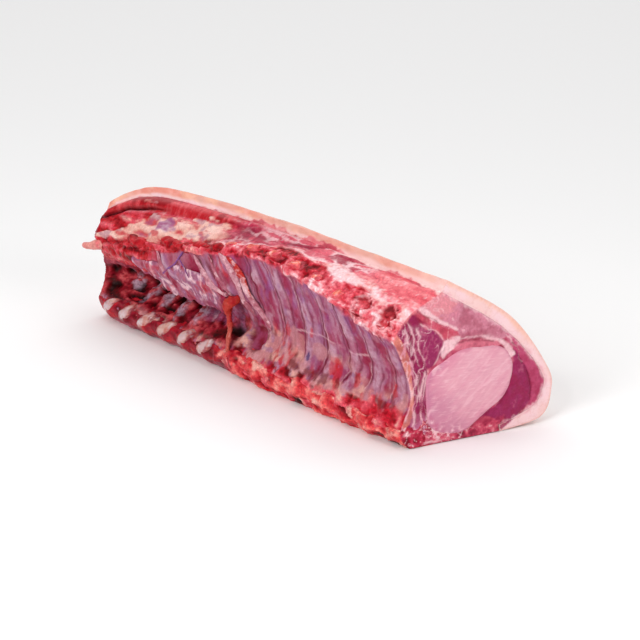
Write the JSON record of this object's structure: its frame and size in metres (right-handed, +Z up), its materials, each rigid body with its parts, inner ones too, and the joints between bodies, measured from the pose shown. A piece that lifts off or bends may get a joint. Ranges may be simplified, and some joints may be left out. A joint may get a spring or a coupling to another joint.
{
  "type": "pork loin",
  "caption": "Raw bone-in pork loin with its fat cap on: a long roast with rib bones on one side, split backbone along the foot, and a cut end that shows the round loin eye.",
  "frame": {"origin": "middle of the bottom of the whole piece, on the surface that it lies on", "axes": "+X along the loin to the shoulder-end cut with the loin eye, -Y the rib side, +Y the fat side, +Z up"},
  "size_m": [0.5658, 0.1858, 0.1675],
  "materials": {
    "lean": "raw red meat, moist and glossy",
    "fat": "soft pinkish-white fat with a smooth peach rind",
    "eye": "pale pink fine-grained meat, freshly cut, moist",
    "bone": "bone under a thin lilac and red membrane, sawn spongy ends"
  },
  "bodies": {
    "root": {"lean": "lean", "fat_cap": "fat", "loin_eye": "eye", "chine": "bone", "rib_1": "bone", "rib_2": "bone", "rib_3": "bone", "rib_4": "bone", "rib_5": "bone", "rib_6": "bone", "rib_7": "bone", "rib_8": "bone"}
  },
  "joints": []
}
